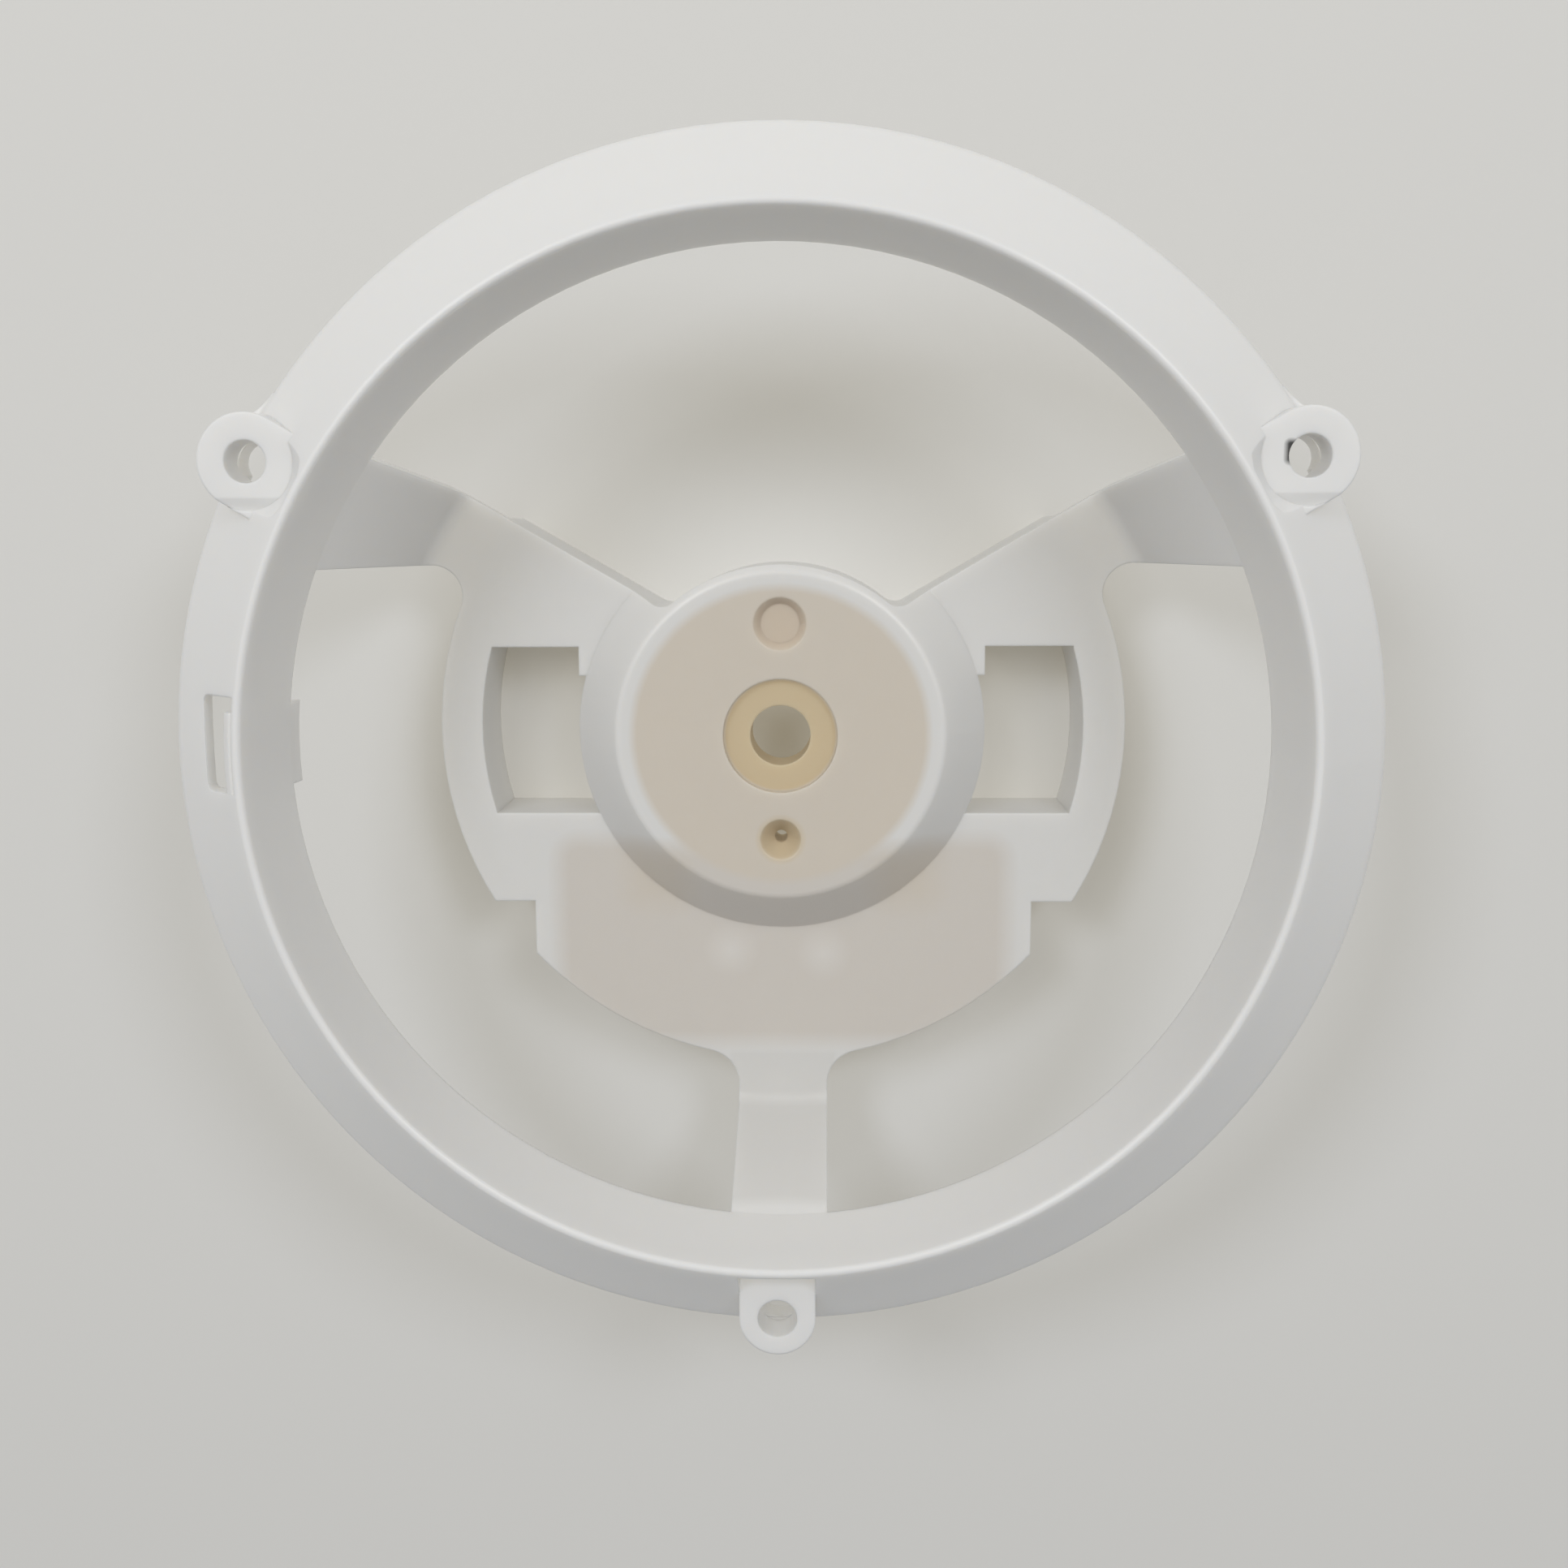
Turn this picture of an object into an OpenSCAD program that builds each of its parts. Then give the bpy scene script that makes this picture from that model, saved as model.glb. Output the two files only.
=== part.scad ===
// Fan shroud for the cold-air fan of a refrigerator, moulded in one piece.
// A short bell-mouth ring carries three screw ears. Three legs drop from its rear
// edge to a motor plate with a domed bearing seat and a hollow back.
// The origin lies on the fan axis, at the front end of the shaft hole.
// +Z points out of the open front, and the straight leg runs along -Y.

/* [Ring] */
// Radius of the front lip at its crest
lip_r = 62.5; // [61:0.5:64]
// Radius of the opening at the ring's rear edge
throat_r = 60.2; // [59:0.1:60.8]
// Depth of the ring from its lip to its rear edge
ring_depth = 12.3; // [11:0.1:14]
// Wall thickness of the ring and its skirt
ring_wall = 1.9; // [1.6:0.1:2.2]
// Radius that rounds the lip over
lip_round = 0.6; // [0.4:0.1:0.8]
// Radius of the skirt's outer edge
skirt_r = 73; // [72:0.5:74.5]
// Slope of the skirt, in degrees below the front plane
skirt_slope = 41; // [37:1:43]
// Drop from the lip to the skirt's lower edge
skirt_drop = 11.5; // [11:0.1:13]
// Outer radius of the bend at the skirt's edge
skirt_bend = 2.6; // [2.4:0.1:3.2]

/* [Ears] */
// Distance of each ear hole from the fan axis
ear_pitch_r = 70; // [69:0.1:71]
// Diameter of the ear holes
ear_hole_d = 4.9; // [4:0.1:5.4]
// Drop from the lip to the ears' flat faces
ear_drop = 3.5; // [3:0.1:4.2]
// Thickness of the ears
ear_depth = 4.4; // [4:0.1:6]
// Radius of the round pad on each upper ear
ear_pad_r = 5.6; // [5.2:0.1:5.8]
// Radius at which the scoop round an upper ear's pad runs out in the skirt
ear_scoop_r = 7.2; // [6.8:0.1:7.5]
// Height that the scoop climbs above the pad
ear_scoop_rise = 2.4; // [2:0.1:3]
// Distance from an upper ear's hole to the crease below it
ear_crease = 4.1; // [3.8:0.1:4.4]
// Slope of the pad beyond that crease, in degrees
ear_crease_slope = 24; // [16:1:30]
// Radius of the web that joins an upper ear to the skirt's edge
ear_web_r = 9; // [7:0.5:11]
// Width of the lower ear
tab_w = 9.5; // [9:0.1:11]

/* [Catch] */
// Width of the slot in the skirt, round the ring
slot_w = 11.4; // [11:0.1:13]
// Reach of the slot outwards from the lip
slot_reach = 4.4; // [4:0.1:4.8]
// Distance of the slot's middle from the ring's side point
slot_offset = 2.4; // [1.5:0.1:3]
// Width of the catch that stands in the slot
catch_w = 10.2; // [9.5:0.1:10.6]
// Distance of the catch's middle from the ring's side point
catch_offset = 1.2; // [0.8:0.1:1.8]
// Thickness of the catch beyond the lip
catch_t = 1.9; // [1.4:0.1:2.4]
// Length by which the catch passes the ring's rear edge
catch_tail = 2.8; // [2:0.1:4]

/* [Hub] */
// Height of the hub's face above the motor plate
hub_rise = 6; // [5:0.5:7]
// Radius of the hub's face
hub_face_r = 21.7; // [21:0.1:22.5]
// Radius of the hub's foot on the motor plate
hub_foot_r = 27.4; // [27:0.1:27.5]
// Radius of the hub's upright upper side
hub_side_r = 22.5; // [22:0.1:23.4]
// Radius that rounds the edge of the hub's face
hub_round = 1.2; // [0.8:0.1:1.6]
// Radius of the shallow seat round the shaft hole
seat_r = 7.6; // [7:0.1:8.4]
// Depth of that seat
seat_depth = 1; // [0.8:0.1:1.4]
// Diameter of the shaft hole
shaft_hole_d = 8; // [7:0.1:9]
// Length of the shaft hole
shaft_hole_l = 7; // [6:0.5:9]
// Distance from the fan axis to the dimple above it
dimple_y = 14.8; // [14:0.1:15]
// Radius of the dimple
dimple_r = 3.5; // [3:0.1:3.6]
// Depth of the dimple
dimple_depth = 1.3; // [1:0.1:1.5]
// Distance from the fan axis to the funnel hole below it
funnel_y = 13.9; // [13.4:0.1:14.6]
// Radius of the funnel hole's mouth
funnel_r = 2.75; // [2.2:0.05:3]
// Radius of the funnel hole's throat
funnel_throat_r = 0.85; // [0.7:0.05:1.1]
// Depth at which the funnel reaches its throat
funnel_depth = 2.6; // [2:0.1:3.2]

/* [Motor plate] */
// Drop from the lip to the motor plate
plate_drop = 33; // [31:0.5:36]
// Thickness of the motor plate
plate_t = 2; // [1.8:0.1:2.4]
// Radius of the motor plate
plate_r = 46.4; // [45.5:0.1:47]
// Half width of the motor plate below its cut corners
pocket_half_w = 34.3; // [33:0.1:35]
// Distance below the axis at which the corners are cut
corner_y = 23.8; // [23:0.1:25]
// Distance below the axis at which the motor chamber starts beside the hub
chamber_y = 12; // [11.6:0.1:14]
// Depth of the walls behind the motor plate
back_depth = 12; // [10:0.5:16]
// Thickness of the walls behind the motor plate
back_wall = 1.8; // [1.5:0.1:2]

/* [Windows] */
// Outer radius of the two windows
window_r = 40.8; // [39.5:0.1:41.5]
// Half height of the windows
window_half_h = 11.4; // [10.5:0.1:11.8]

/* [Legs] */
// Angle of the upper legs above the horizontal, in degrees
leg_angle = 30; // [29:1:31]
// Half width of the legs
leg_half_w = 6.2; // [5.8:0.1:6.6]
// Thickness of the legs
leg_t = 2; // [1.8:0.1:2.2]
// Radius at which the legs bend up towards the ring
leg_bend_r = 52.7; // [51.5:0.1:53.5]
// Inner radius of that bend
leg_bend = 2.2; // [1.5:0.1:3]
// Height of an upper leg's lower edge above the axis
leg_low_y = 22.4; // [21.8:0.1:23]
// Radius of the fillets beside the straight leg
arm_fillet = 5; // [4:0.5:6]
// Radius of the fillets below the upper legs
leg_fillet = 4; // [3:0.5:5]
// Radius of the fillets where the upper legs leave the hub
hub_fillet = 2.6; // [2:0.1:3.5]

/* [Hidden] */
$fn = 96;
e = 0.01;
plastic = [0.86, 0.86, 0.84];

// Heights along the fan axis
hub_z = seat_depth;
plate_z = hub_z - hub_rise;
lip_z = plate_z + plate_drop;
rear_z = lip_z - ring_depth;
skirt_z = lip_z - skirt_drop;
ear_z = lip_z - ear_drop;
ear_back_z = ear_z - ear_depth;
rim_z = plate_z - back_depth;
plate_back_z = plate_z - plate_t;

// Ring section: the lip's centre, the bend's centre and the skirt's normal
skirt_n = [sin(skirt_slope), cos(skirt_slope)];
lip_c = [lip_r, lip_z - lip_round];
bend_x = skirt_r - skirt_bend;
bend_fall = (skirt_bend - lip_round + skirt_n[0] * (bend_x - lip_r)) / skirt_n[1];
bend_c = [bend_x, lip_c[1] - bend_fall];
wall_run = lip_c - [lip_round, 0] - [throat_r, rear_z];
wall_foot = [throat_r + ring_wall, rear_z];
wall_t = (lip_round - ring_wall - skirt_n * (wall_foot - lip_c)) / (skirt_n * wall_run);
wall_top = wall_foot + wall_t * wall_run;

// Leg section: slope of the rising part and the centre of its bend
leg_slope = atan2(rear_z - plate_z, throat_r - leg_bend_r);
leg_c = [leg_bend_r - leg_bend * tan(leg_slope / 2), plate_z + leg_bend];
leg_off = leg_t * [sin(leg_slope), -cos(leg_slope)];

// The upper legs' upper edge, as a height on the Y axis and an end beyond the ring
edge_y0 = (leg_half_w + 0.3) / cos(leg_angle);
edge_x = throat_r;
edge_y = edge_y0 + edge_x * tan(leg_angle);

// Cutters of tangent fillets are this much larger, so that they cross what they touch
cross = 0.02;

// Ears: angle of the right one, and the place of its hole
ear_at = ear_pitch_r * [cos(30), sin(30)];

// Points of an arc about c
function arc(c, r, a0, a1, n = 12) =
    [for (i = [0 : n]) c + r * [cos(a0 + (a1 - a0) * i / n), sin(a0 + (a1 - a0) * i / n)]];

// Centre of a circle of radius f that touches circles of radius a about the origin
// and radius b about the point p, on the left of the line from the origin to p
function kiss(p, a, b, f) =
    let (d = norm(p), u = p / d, x = ((a + f) ^ 2 - (b + f) ^ 2 + d * d) / (2 * d))
    x * u + sqrt((a + f) ^ 2 - x * x) * [-u[1], u[0]];

// Draws its children, and their mirror image across the YZ plane
module both_sides() {
    children();
    mirror([1, 0, 0]) children();
}

// Section of the lip, the ring's wall and the skirt
module ring_section() {
    lean = 90 - skirt_slope;
    polygon(concat(
        [[throat_r, rear_z]],
        arc(lip_c, lip_round, 180, lean),
        arc(bend_c, skirt_bend, lean, 0),
        [[skirt_r, skirt_z], [skirt_r - ring_wall, skirt_z]],
        arc(bend_c, skirt_bend - ring_wall, 0, lean, 4),
        [wall_top, wall_foot]
    ));
}

// Section of a leg, flat at the plate and steep up to the ring's rear edge
module leg_section() {
    grip = 1;
    end = [throat_r, rear_z];
    polygon(concat(
        [[hub_foot_r, plate_z]],
        arc(leg_c, leg_bend, -90, leg_slope - 90, 8),
        [end, end + [0.4, grip], end + [leg_off[0], grip], end + leg_off],
        arc(leg_c, leg_bend + leg_t, leg_slope - 90, -90, 8),
        [[hub_foot_r, plate_back_z]]
    ));
}

// Outline of the right upper leg, with the fillets at its foot
module leg_outline() {
    low = leg_low_y - leg_fillet;
    fillet_at = [sqrt((plate_r + leg_fillet) ^ 2 - low * low), low];
    foot = fillet_at * plate_r / norm(fillet_at);
    polygon([
        [0, edge_y0], [edge_x, edge_y], [edge_x + 4, leg_low_y + 1],
        [throat_r - 4, leg_low_y], [hub_foot_r, leg_low_y], [hub_foot_r, edge_y0]
    ]);
    difference() {
        polygon([[fillet_at[0], leg_low_y + e], fillet_at, foot, foot - [6, 0], [foot[0] - 6, leg_low_y + e]]);
        translate(fillet_at) circle(leg_fillet + cross);
    }
}

// Outline of the straight leg, with the fillets beside it
module arm_outline() {
    side = leg_half_w + arm_fillet;
    fillet_at = [side, -sqrt((plate_r + arm_fillet) ^ 2 - side * side)];
    foot = fillet_at * plate_r / norm(fillet_at);
    translate([-leg_half_w, -skirt_r]) square([2 * leg_half_w, skirt_r - hub_foot_r]);
    both_sides() difference() {
        polygon([[0, fillet_at[1]], fillet_at, foot, [foot[0], foot[1] + 2], [0, foot[1] + 2]]);
        translate(fillet_at) circle(arm_fillet + cross);
    }
}

// Fillet between the hub's upper side and the right upper leg
module hub_fillet_outline() {
    off = edge_y0 * cos(leg_angle) + hub_fillet;
    along = sqrt((hub_side_r + hub_fillet) ^ 2 - off * off);
    at = along * [cos(leg_angle), sin(leg_angle)] + off * [-sin(leg_angle), cos(leg_angle)];
    foot = at * hub_side_r / norm(at);
    edge = at + hub_fillet * [sin(leg_angle), -cos(leg_angle)];
    difference() {
        polygon([at, foot, foot * 0.8, edge * 0.8, edge]);
        translate(at) circle(hub_fillet + cross);
    }
}

// Outline of the motor plate and hub, drawn smaller by inset all round
module plate_outline(inset = 0) {
    half = pocket_half_w - inset;
    fall = inset / cos(leg_angle);
    cut = inset - corner_y;
    intersection() {
        circle(plate_r - inset);
        polygon([
            [0, edge_y0 - fall], [edge_x, edge_y - fall], [edge_x, cut], [half, cut],
            [half, -edge_x], [-half, -edge_x], [-half, cut], [-edge_x, cut],
            [-edge_x, edge_y - fall]
        ]);
    }
    circle(hub_side_r - inset);
    if (inset == 0) both_sides() hub_fillet_outline();
}

// Outline of the motor chamber behind the hub and the pocket below it
module chamber_outline(inset = 0) {
    circle(hub_foot_r - inset);
    intersection() {
        circle(plate_r - inset);
        translate([-pocket_half_w + inset, -plate_r])
            square([2 * (pocket_half_w - inset), plate_r - chamber_y - inset]);
    }
}

// Outline of the right window, drawn larger by grow all round
module window_outline(grow = 0) {
    intersection() {
        difference() {
            circle(window_r + grow);
            circle(hub_foot_r + 0.1 - grow);
        }
        translate([0, -window_half_h - grow]) square([plate_r, 2 * (window_half_h + grow)]);
    }
}

// Plain solid of the hub and its flared foot
module hub_solid() {
    flank = atan2(hub_rise, hub_foot_r - hub_face_r);
    knee = hub_face_r - hub_round * tan(flank / 2);
    intersection() {
        rotate_extrude() polygon(concat(
            [[0, hub_z]],
            arc([knee, hub_z - hub_round], hub_round, 90, 90 - flank, 6),
            [[hub_foot_r, plate_z], [hub_foot_r, plate_back_z], [0, plate_back_z]]
        ));
        translate([0, 0, rim_z]) linear_extrude(hub_z - rim_z + e) plate_outline();
    }
}

// Hollow inside the hub, with the same lean as its foot
module hub_hollow() {
    lean = (hub_foot_r - hub_face_r) / hub_rise;
    top = hub_face_r - plate_t;
    intersection() {
        rotate_extrude() polygon([
            [0, hub_z - plate_t], [top, hub_z - plate_t],
            [top + lean * (hub_rise - e), plate_back_z + e], [top, plate_back_z - 1],
            [0, plate_back_z - 1]
        ]);
        translate([0, 0, rim_z]) linear_extrude(hub_z - rim_z) plate_outline(back_wall);
    }
}

// Hollows behind the motor plate, between the walls that frame them
module back_hollows() {
    translate([0, 0, rim_z - 1]) linear_extrude(plate_back_z - rim_z + 1) {
        difference() {
            plate_outline(back_wall);
            chamber_outline();
            both_sides() window_outline(back_wall);
        }
        intersection() {
            plate_outline(back_wall);
            chamber_outline(back_wall);
        }
    }
}

// Motor plate with its windows, its rear walls and the domed hub
module motor_mount() {
    difference() {
        union() {
            translate([0, 0, rim_z]) linear_extrude(back_depth) plate_outline();
            hub_solid();
        }
        back_hollows();
        hub_hollow();
        both_sides() translate([0, 0, rim_z - 1]) linear_extrude(back_depth + 2) window_outline();
    }
}

// Solid bosses that stand behind the hub's face
module hub_bosses() {
    post_r = dimple_r + 1;
    translate([0, 0, -shaft_hole_l]) cylinder(r = seat_r + 1, h = shaft_hole_l);
    translate([0, dimple_y - 0.4, plate_back_z]) cylinder(r = post_r, h = plate_t + hub_rise - 1);
    translate([0, -funnel_y, plate_back_z]) cylinder(r = post_r, h = plate_t + hub_rise - 1);
}

// Everything that is bored or sunk in the hub's face
module hub_bores() {
    translate([0, 0, 0]) cylinder(r = seat_r, h = hub_z + 1);
    translate([0, 0, -shaft_hole_l - 1]) cylinder(d = shaft_hole_d, h = shaft_hole_l + 2);
    translate([0, dimple_y, hub_z - dimple_depth]) cylinder(r1 = dimple_r - 0.9, r2 = dimple_r, h = dimple_depth);
    translate([0, dimple_y, hub_z - e]) cylinder(r = dimple_r, h = 1);
    translate([0, -funnel_y, 0]) {
        translate([0, 0, hub_z - funnel_depth]) cylinder(r1 = funnel_throat_r, r2 = funnel_r, h = funnel_depth);
        translate([0, 0, hub_z - e]) cylinder(r = funnel_r, h = 1);
        translate([0, 0, plate_back_z - 1]) cylinder(r = funnel_throat_r, h = hub_z - plate_back_z);
    }
}

// The three legs
module legs() {
    intersection() {
        rotate_extrude() leg_section();
        translate([0, 0, plate_back_z]) linear_extrude(ring_depth + plate_drop) {
            both_sides() leg_outline();
            arm_outline();
        }
    }
}

// Outline of the right ear, with its foot in the skirt
module ear_outline() {
    foot = lip_r + 1;
    half = ear_pad_r - cross;
    translate(ear_at) circle(ear_pad_r);
    rotate(30) translate([foot, -half]) square([ear_pitch_r - foot, 2 * half]);
}

// Web that carries the skirt's edge round into the right ear's upper side
module ear_web() {
    at = kiss(ear_at, skirt_r, ear_pad_r, ear_web_r);
    translate([0, 0, skirt_z]) linear_extrude(ear_back_z - skirt_z + 1) difference() {
        polygon([at, ear_at, ear_at * lip_r / ear_pitch_r * 1.04, at * lip_r / norm(at) * 1.04]);
        translate(at) circle(ear_web_r + cross);
    }
}

// Body of the right ear below its face
module ear_body() {
    translate([0, 0, ear_back_z]) linear_extrude(ear_depth) ear_outline();
    intersection() {
        ear_web();
        rotate_extrude() polygon([[lip_r, skirt_z], [skirt_r + 8, skirt_z], [skirt_r + 8, bend_c[1]],
            [skirt_r, bend_c[1] + 1], [lip_r, lip_z - ring_wall]]);
    }
}

// Scoop over the right ear's face, with the sloping facet beyond its crease
module ear_scoop() {
    difference() {
        translate([ear_at[0], ear_at[1], ear_z]) {
            cylinder(r1 = ear_pad_r, r2 = ear_scoop_r, h = ear_scoop_rise);
            translate([0, 0, ear_scoop_rise - e]) cylinder(r = ear_scoop_r, h = 3);
            intersection() {
                translate([0, 0, -2]) cylinder(r = ear_pad_r, h = 4);
                translate([0, -ear_crease, 0]) rotate([ear_crease_slope, 0, 0])
                    translate([-10, -10, 0]) cube([20, 10, 10]);
            }
        }
        translate([0, 0, skirt_z]) cylinder(r = lip_r + lip_round, h = lip_z);
    }
}

// Body of the lower ear, a tab with a round end
module tab_body(top, grow = 0) {
    inner = lip_r + lip_round;
    half = tab_w / 2 - cross;
    translate([0, -ear_pitch_r, ear_back_z + grow]) linear_extrude(top - ear_back_z) {
        circle(d = tab_w);
        translate([-half, 0]) square([2 * half, ear_pitch_r - inner]);
    }
}

// Slot through the skirt on the left, with rounded corners
module catch_slot() {
    corner = 0.8;
    inner = lip_r + lip_round;
    translate([0, slot_offset, skirt_z - 1]) linear_extrude(lip_z) difference() {
        union() {
            translate([-inner - slot_reach + corner, -slot_w / 2]) square([slot_reach + 1, slot_w]);
            translate([-inner - slot_reach, -slot_w / 2 + corner]) square([corner + e, slot_w - 2 * corner]);
            for (s = [-1, 1])
                translate([-inner - slot_reach + corner, s * (slot_w / 2 - corner)]) circle(corner);
        }
        translate([0, -slot_offset]) circle(inner);
    }
}

// Catch that stands outside the ring's wall, inside the slot
module catch_body() {
    drop = 0.8;
    low = rear_z - catch_tail;
    reach = lip_r + catch_t;
    intersection() {
        translate([-reach - 1, catch_offset - catch_w / 2, low]) cube([8, catch_w, lip_z - drop - low]);
        rotate_extrude() polygon([
            [throat_r, rear_z], [throat_r + 0.6, rear_z + 2], [lip_c[0], lip_z - drop],
            [reach - 0.8, lip_z - drop], [reach, lip_z - drop - 0.8],
            [throat_r + ring_wall + 0.8, low], [throat_r - 0.2, low]
        ]);
    }
}

// The whole ring with its ears, slot and catch
module ring() {
    difference() {
        union() {
            rotate_extrude() ring_section();
            both_sides() ear_body();
            tab_body(ear_z);
        }
        both_sides() ear_scoop();
        tab_body(lip_z + 1, ear_depth);
        both_sides() translate([ear_at[0], ear_at[1], rim_z]) cylinder(d = ear_hole_d, h = lip_z - rim_z);
        translate([0, -ear_pitch_r, rim_z]) cylinder(d = ear_hole_d, h = lip_z - rim_z);
        catch_slot();
    }
    catch_body();
}

module fan_shroud() {
    color(plastic) difference() {
        union() {
            ring();
            legs();
            motor_mount();
            hub_bosses();
        }
        hub_bores();
    }
}

fan_shroud();
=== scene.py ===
import math

import bpy
from mathutils import Matrix, Vector


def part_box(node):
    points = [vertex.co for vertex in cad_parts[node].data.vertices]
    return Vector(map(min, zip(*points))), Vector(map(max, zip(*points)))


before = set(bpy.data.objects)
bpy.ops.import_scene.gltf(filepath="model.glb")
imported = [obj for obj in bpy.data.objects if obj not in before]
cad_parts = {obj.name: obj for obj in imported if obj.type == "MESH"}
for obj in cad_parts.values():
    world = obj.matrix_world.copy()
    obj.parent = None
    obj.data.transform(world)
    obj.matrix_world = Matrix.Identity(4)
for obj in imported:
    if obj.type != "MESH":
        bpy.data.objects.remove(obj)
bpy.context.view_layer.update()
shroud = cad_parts["fan_shroud"]
mm = 0.001
bpy.context.scene.view_settings.view_transform = "Standard"

# the photo's view, measured from the fan axis at the lip's plane
camera = {
    "lipHeight": 28.0,
    "place": (6.1, 27.5, 178.2),
    "tiltX": -9.37,
    "tiltY": 1.55,
    "sensor": 36.0,
    "lens": 36.0,  # equal to the sensor, so the frame is as wide as the distance
    "nearest": 0.01,
}

cameraData = bpy.data.cameras.new("viewCamera")
cameraData.sensor_width = camera["sensor"]
cameraData.lens = camera["lens"]
cameraData.clip_start = camera["nearest"]
viewCamera = bpy.data.objects.new("viewCamera", cameraData)
bpy.context.collection.objects.link(viewCamera)
cameraPlace = Vector(camera["place"]) * mm + Vector((0, 0, camera["lipHeight"] * mm))
viewCamera.matrix_world = (
    Matrix.Translation(cameraPlace)
    @ Matrix.Rotation(math.radians(camera["tiltX"]), 4, "X")
    @ Matrix.Rotation(math.radians(camera["tiltY"]), 4, "Y")
)
bpy.context.scene.camera = viewCamera
print("camera placed")


# the plain pale floor that the part lies on
floor = {"size": 1.4, "colour": (0.69, 0.685, 0.665, 1), "roughness": 0.9, "shine": 0.2}

floorMesh = bpy.data.meshes.new("paleFloor")
reach = floor["size"] / 2
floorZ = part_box("fan_shroud")[0][2]
floorMesh.from_pydata(
    [(-reach, -reach, floorZ), (reach, -reach, floorZ), (reach, reach, floorZ), (-reach, reach, floorZ)],
    [], [(0, 1, 2, 3)],
)
paleFloor = bpy.data.objects.new("paleFloor", floorMesh)
bpy.context.collection.objects.link(paleFloor)
floorMaterial = bpy.data.materials.new("matteFloor")
floorMaterial.use_nodes = True
floorShader = floorMaterial.node_tree.nodes["Principled BSDF"]
floorShader.inputs["Base Color"].default_value = floor["colour"]
floorShader.inputs["Roughness"].default_value = floor["roughness"]
floorShader.inputs["Specular IOR Level"].default_value = floor["shine"]
floorMesh.materials.append(floorMaterial)
print("floor laid")


# two soft studio lamps high behind the part, and even light from all round
light = {
    "aroundColour": (0.95, 0.97, 1.0, 1),
    "aroundStrength": 0.34,
    "lampAcross": 0.53,
    "lampBehind": 0.53,
    "lampHeight": 0.93,
    "lampSize": 0.36,
    "leftPower": 5.5,
    "rightPower": 4.7,
    "lampColour": (1.0, 0.985, 0.955),
}

world = bpy.data.worlds.new("evenLight")
bpy.context.scene.world = world
world.use_nodes = True
backdrop = world.node_tree.nodes["Background"]
backdrop.inputs["Color"].default_value = light["aroundColour"]
backdrop.inputs["Strength"].default_value = light["aroundStrength"]


def hangLamp(name, side, power):
    lampData = bpy.data.lights.new(name, "AREA")
    lampData.shape = "DISK"
    lampData.size = light["lampSize"]
    lampData.energy = power
    lampData.color = light["lampColour"]
    lamp = bpy.data.objects.new(name, lampData)
    bpy.context.collection.objects.link(lamp)
    lamp.location = (side * light["lampAcross"], light["lampBehind"], light["lampHeight"])
    lamp.rotation_euler = (-lamp.location).to_track_quat("-Z", "Y").to_euler()


hangLamp("leftLamp", -1, light["leftPower"])
hangLamp("rightLamp", 1, light["rightPower"])
print("lights set")


# milky plastic: it lets light through; painted shade makes it duller and warmer where walls enclose it
plastic = {
    "ringColour": (0.75, 0.75, 0.745, 1),
    "plateShadeColour": (0.675, 0.672, 0.66, 1),
    "plateTop": -2 * mm,  # the plate's painted shade turns into the ring's colour from here
    "ringFoot": 14 * mm,  # up to here
    "smoothest": 0.33,
    "roughest": 0.45,
    "scatter": 0.6,
    "scatterDepth": 0.003,
    "scatterColours": (1.0, 0.92, 0.8),
    "edge": 0.35 * mm,
    "grainScale": 400,
    "grainDetail": 4,
    "grainHeight": 0.03 * mm,
    "grainStrength": 0.3,
    "lightThrough": (0.80, 0.78, 0.73, 1),
}

# painted shade, painted light and one real scuff, as round-cornered boxes on the plate's plane, in
# millimetres
shadeLightAndScuffPatches = [
    # painted shade: darker, warmer plastic over the enclosed motor pocket
    {"name": "pocket", "place": (0, -29.5), "half": (28, 11.5), "radius": 3,
     "soft": 3, "colour": (0.61, 0.58, 0.54, 1)},
    # painted shade: the straight leg darker than the lit walls
    {"name": "straightLeg", "place": (0, -52.4), "half": (7, 6.6), "radius": 0,
     "soft": 1.5, "colour": (0.60, 0.595, 0.58, 1)},
    # painted shade: two soft warm darker spots on the pocket
    {"name": "leftWarmShade", "place": (-17, -20), "half": (2, 2), "radius": 2,
     "soft": 5, "colour": (0.60, 0.555, 0.49, 1)},
    {"name": "rightWarmShade", "place": (17, -20), "half": (2, 2), "radius": 2,
     "soft": 5, "colour": (0.60, 0.555, 0.49, 1)},
    # painted light: two soft pools of light on the pocket
    {"name": "leftLightPool", "place": (-7.2, -30.7), "half": (0, 0), "radius": 2,
     "soft": 4, "colour": (0.66, 0.64, 0.61, 1)},
    {"name": "rightLightPool", "place": (5.7, -31.2), "half": (0, 0), "radius": 2,
     "soft": 4, "colour": (0.66, 0.64, 0.61, 1)},
    # painted shade: warm, dim hub face, seat, dimple and funnel, where the cavity and bosses behind hold
    # back light
    {"name": "hub", "place": (0, 0), "half": (0, 0), "radius": 19.6,
     "soft": 1.2, "colour": (0.62, 0.571, 0.50, 1)},
    {"name": "seat", "place": (0, 0), "half": (0, 0), "radius": 7.4,
     "soft": 0.5, "colour": (0.605, 0.50, 0.335, 1)},
    {"name": "dimple", "place": (0, 14.8), "half": (0, 0), "radius": 3.4,
     "soft": 0.8, "colour": (0.60, 0.52, 0.425, 1)},
    {"name": "funnel", "place": (0, -13.9), "half": (0, 0), "radius": 2.9,
     "soft": 1.2, "colour": (0.58, 0.485, 0.34, 1)},
    {"name": "scuff", "place": (58.4, 35.45), "half": (0.1, 0.8), "radius": 0.5,
     "soft": 0.6, "colour": (0.05, 0.05, 0.05, 1)},
]

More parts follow.
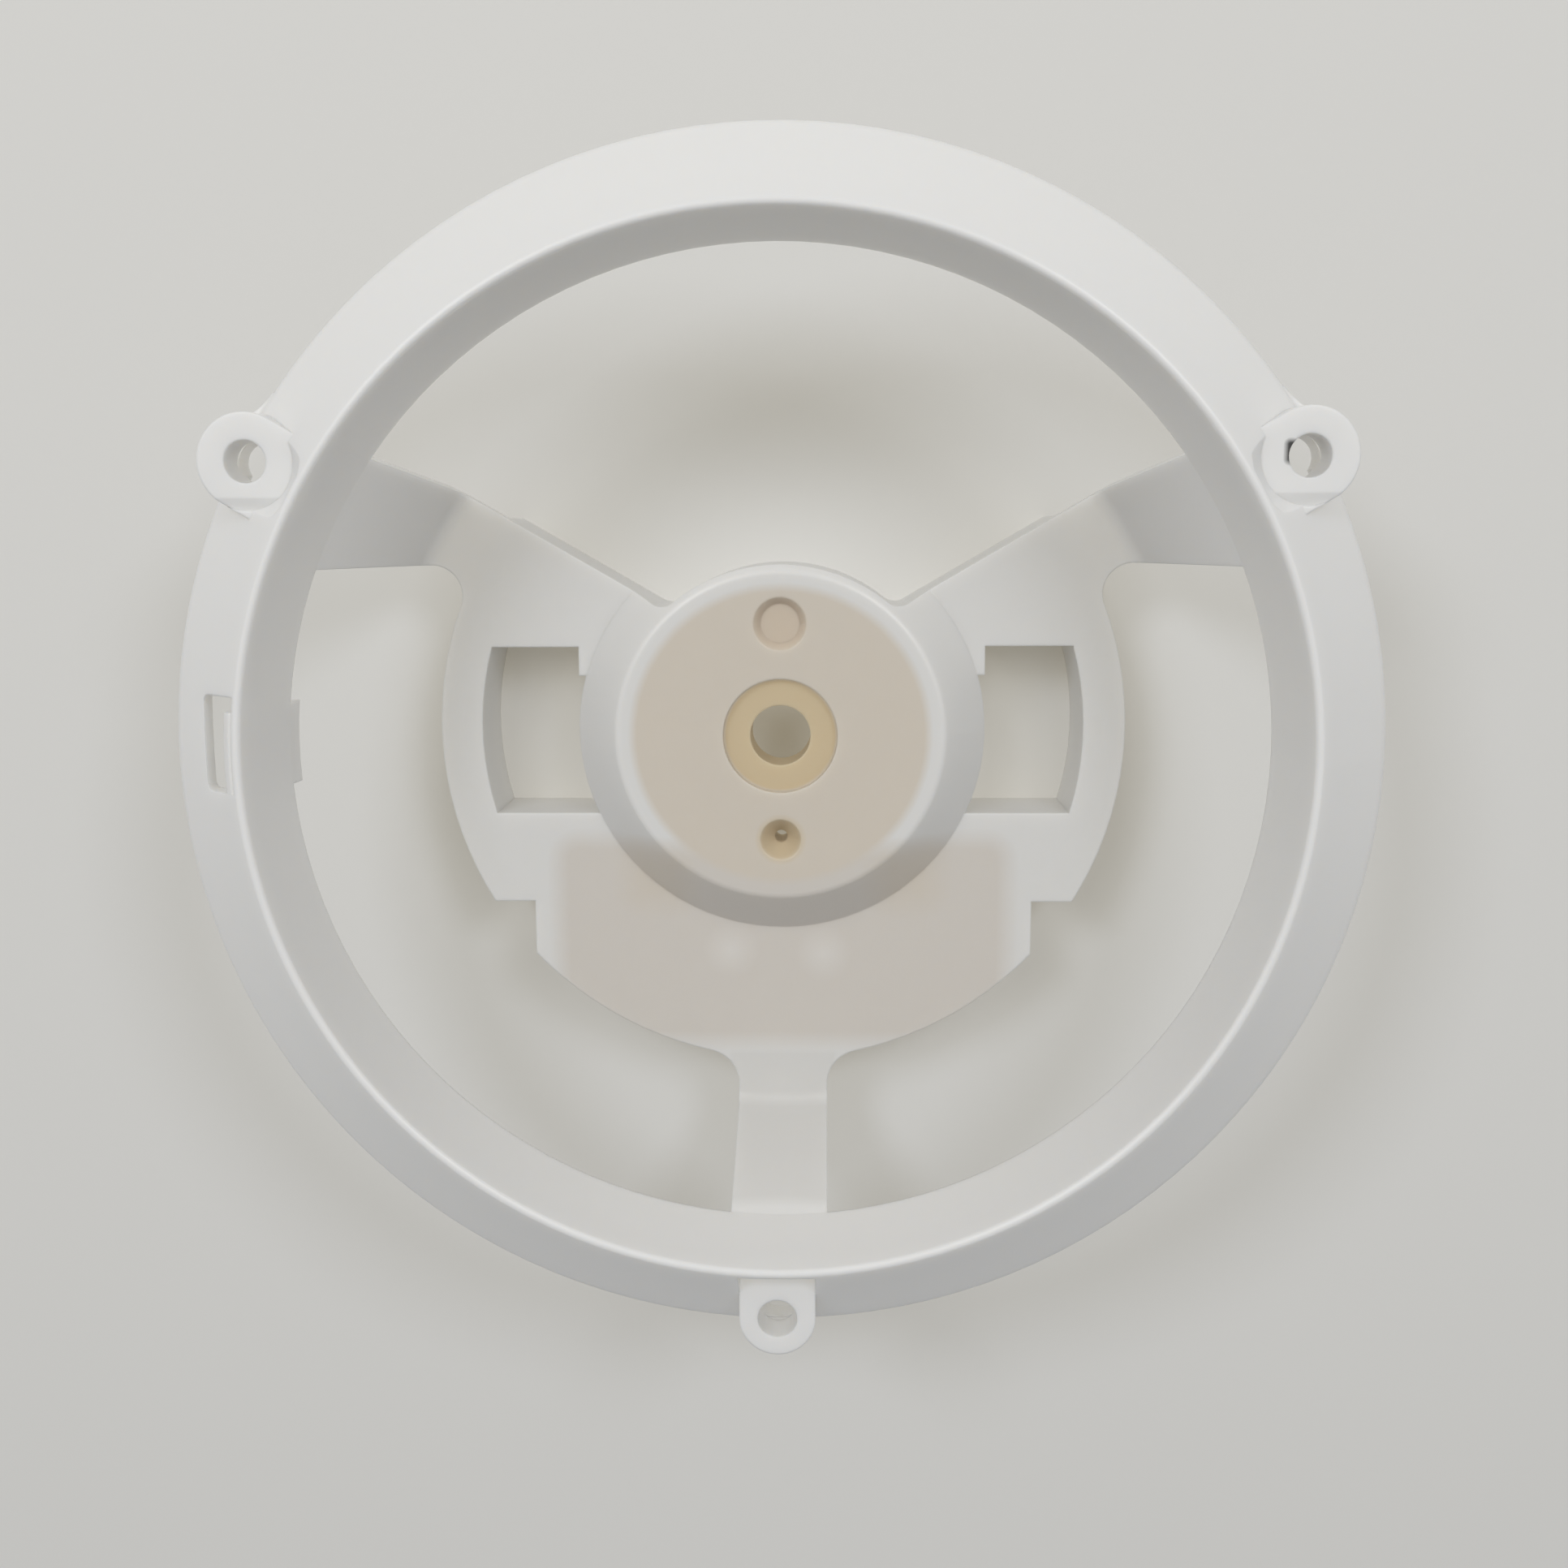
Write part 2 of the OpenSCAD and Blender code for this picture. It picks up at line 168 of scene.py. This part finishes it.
milky = bpy.data.materials.new("milkyPlastic")
milky.use_nodes = True
nodes = milky.node_tree.nodes
links = milky.node_tree.links
shader = nodes["Principled BSDF"]
shader.inputs["Subsurface Weight"].default_value = plastic["scatter"]
shader.inputs["Subsurface Scale"].default_value = plastic["scatterDepth"]
shader.inputs["Subsurface Radius"].default_value = plastic["scatterColours"]
onPart = nodes.new("ShaderNodeTexCoord").outputs["Object"]


def vectorStep(operation, first, second=(0, 0, 0)):
    step = nodes.new("ShaderNodeVectorMath")
    step.operation = operation
    links.new(first, step.inputs[0])
    if operation == "LENGTH":
        return step.outputs["Value"]
    if operation != "ABSOLUTE":
        step.inputs[1].default_value = second
    return step.outputs["Vector"]


def rangeStep(value, start, end, low=0, high=1):
    step = nodes.new("ShaderNodeMapRange")
    links.new(value, step.inputs["Value"])
    step.inputs["From Min"].default_value = start
    step.inputs["From Max"].default_value = end
    step.inputs["To Min"].default_value = low
    step.inputs["To Max"].default_value = high
    return step.outputs["Result"]


def colourStep(mask, below, above):
    step = nodes.new("ShaderNodeMix")
    step.data_type = "RGBA"
    factor, lower, upper = step.inputs[0], step.inputs[6], step.inputs[7]
    links.new(mask, factor)
    if isinstance(below, tuple):
        lower.default_value = below
    else:
        links.new(below, lower)
    upper.default_value = above
    return step.outputs[2]


# from the plate's painted shade to the ring's colour, then each painted patch, and the scuff, over what
# lies below it
parts = nodes.new("ShaderNodeSeparateXYZ")
links.new(onPart, parts.inputs["Vector"])
# painted shade: the low plate darker and warmer than the ring, by height
rise = rangeStep(parts.outputs["Z"], plastic["plateTop"], plastic["ringFoot"])
colour = colourStep(rise, plastic["plateShadeColour"], plastic["ringColour"])
flat = vectorStep("MULTIPLY", onPart, (1, 1, 0))
for patch in shadeLightAndScuffPatches:
    place = Vector((*patch["place"], 0)) * mm
    half = Vector((*patch["half"], 0)) * mm
    away = vectorStep("SUBTRACT", flat, place)
    away = vectorStep("ABSOLUTE", away)
    away = vectorStep("SUBTRACT", away, half)
    away = vectorStep("MAXIMUM", away)
    distance = vectorStep("LENGTH", away)
    outer = (patch["radius"] + patch["soft"] / 2) * mm
    inner = (patch["radius"] - patch["soft"] / 2) * mm
    mask = rangeStep(distance, outer, inner)
    colour = colourStep(mask, colour, patch["colour"])
links.new(colour, shader.inputs["Base Color"])

# a faint moulded grain on soft edges
grain = nodes.new("ShaderNodeTexNoise")
grain.inputs["Scale"].default_value = plastic["grainScale"]
grain.inputs["Detail"].default_value = plastic["grainDetail"]
links.new(onPart, grain.inputs["Vector"])
sheen = rangeStep(grain.outputs["Fac"], 0, 1, plastic["smoothest"], plastic["roughest"])
links.new(sheen, shader.inputs["Roughness"])
edges = nodes.new("ShaderNodeBevel")
edges.samples = 4
edges.inputs["Radius"].default_value = plastic["edge"]
bump = nodes.new("ShaderNodeBump")
bump.inputs["Strength"].default_value = plastic["grainStrength"]
bump.inputs["Distance"].default_value = plastic["grainHeight"]
links.new(grain.outputs["Fac"], bump.inputs["Height"])
links.new(edges.outputs["Normal"], bump.inputs["Normal"])
links.new(bump.outputs["Normal"], shader.inputs["Normal"])

# a lamp's light passes the thin walls, each face taking its share
passing = nodes.new("ShaderNodeBsdfTransparent")
passing.inputs["Color"].default_value = plastic["lightThrough"]
ray = nodes.new("ShaderNodeLightPath")
either = nodes.new("ShaderNodeMixShader")
links.new(ray.outputs["Is Shadow Ray"], either.inputs["Fac"])
links.new(shader.outputs["BSDF"], either.inputs[1])
links.new(passing.outputs["BSDF"], either.inputs[2])
links.new(either.outputs["Shader"], nodes["Material Output"].inputs["Surface"])
for slot in shroud.material_slots:
    slot.material = milky
print("plastic mixed")
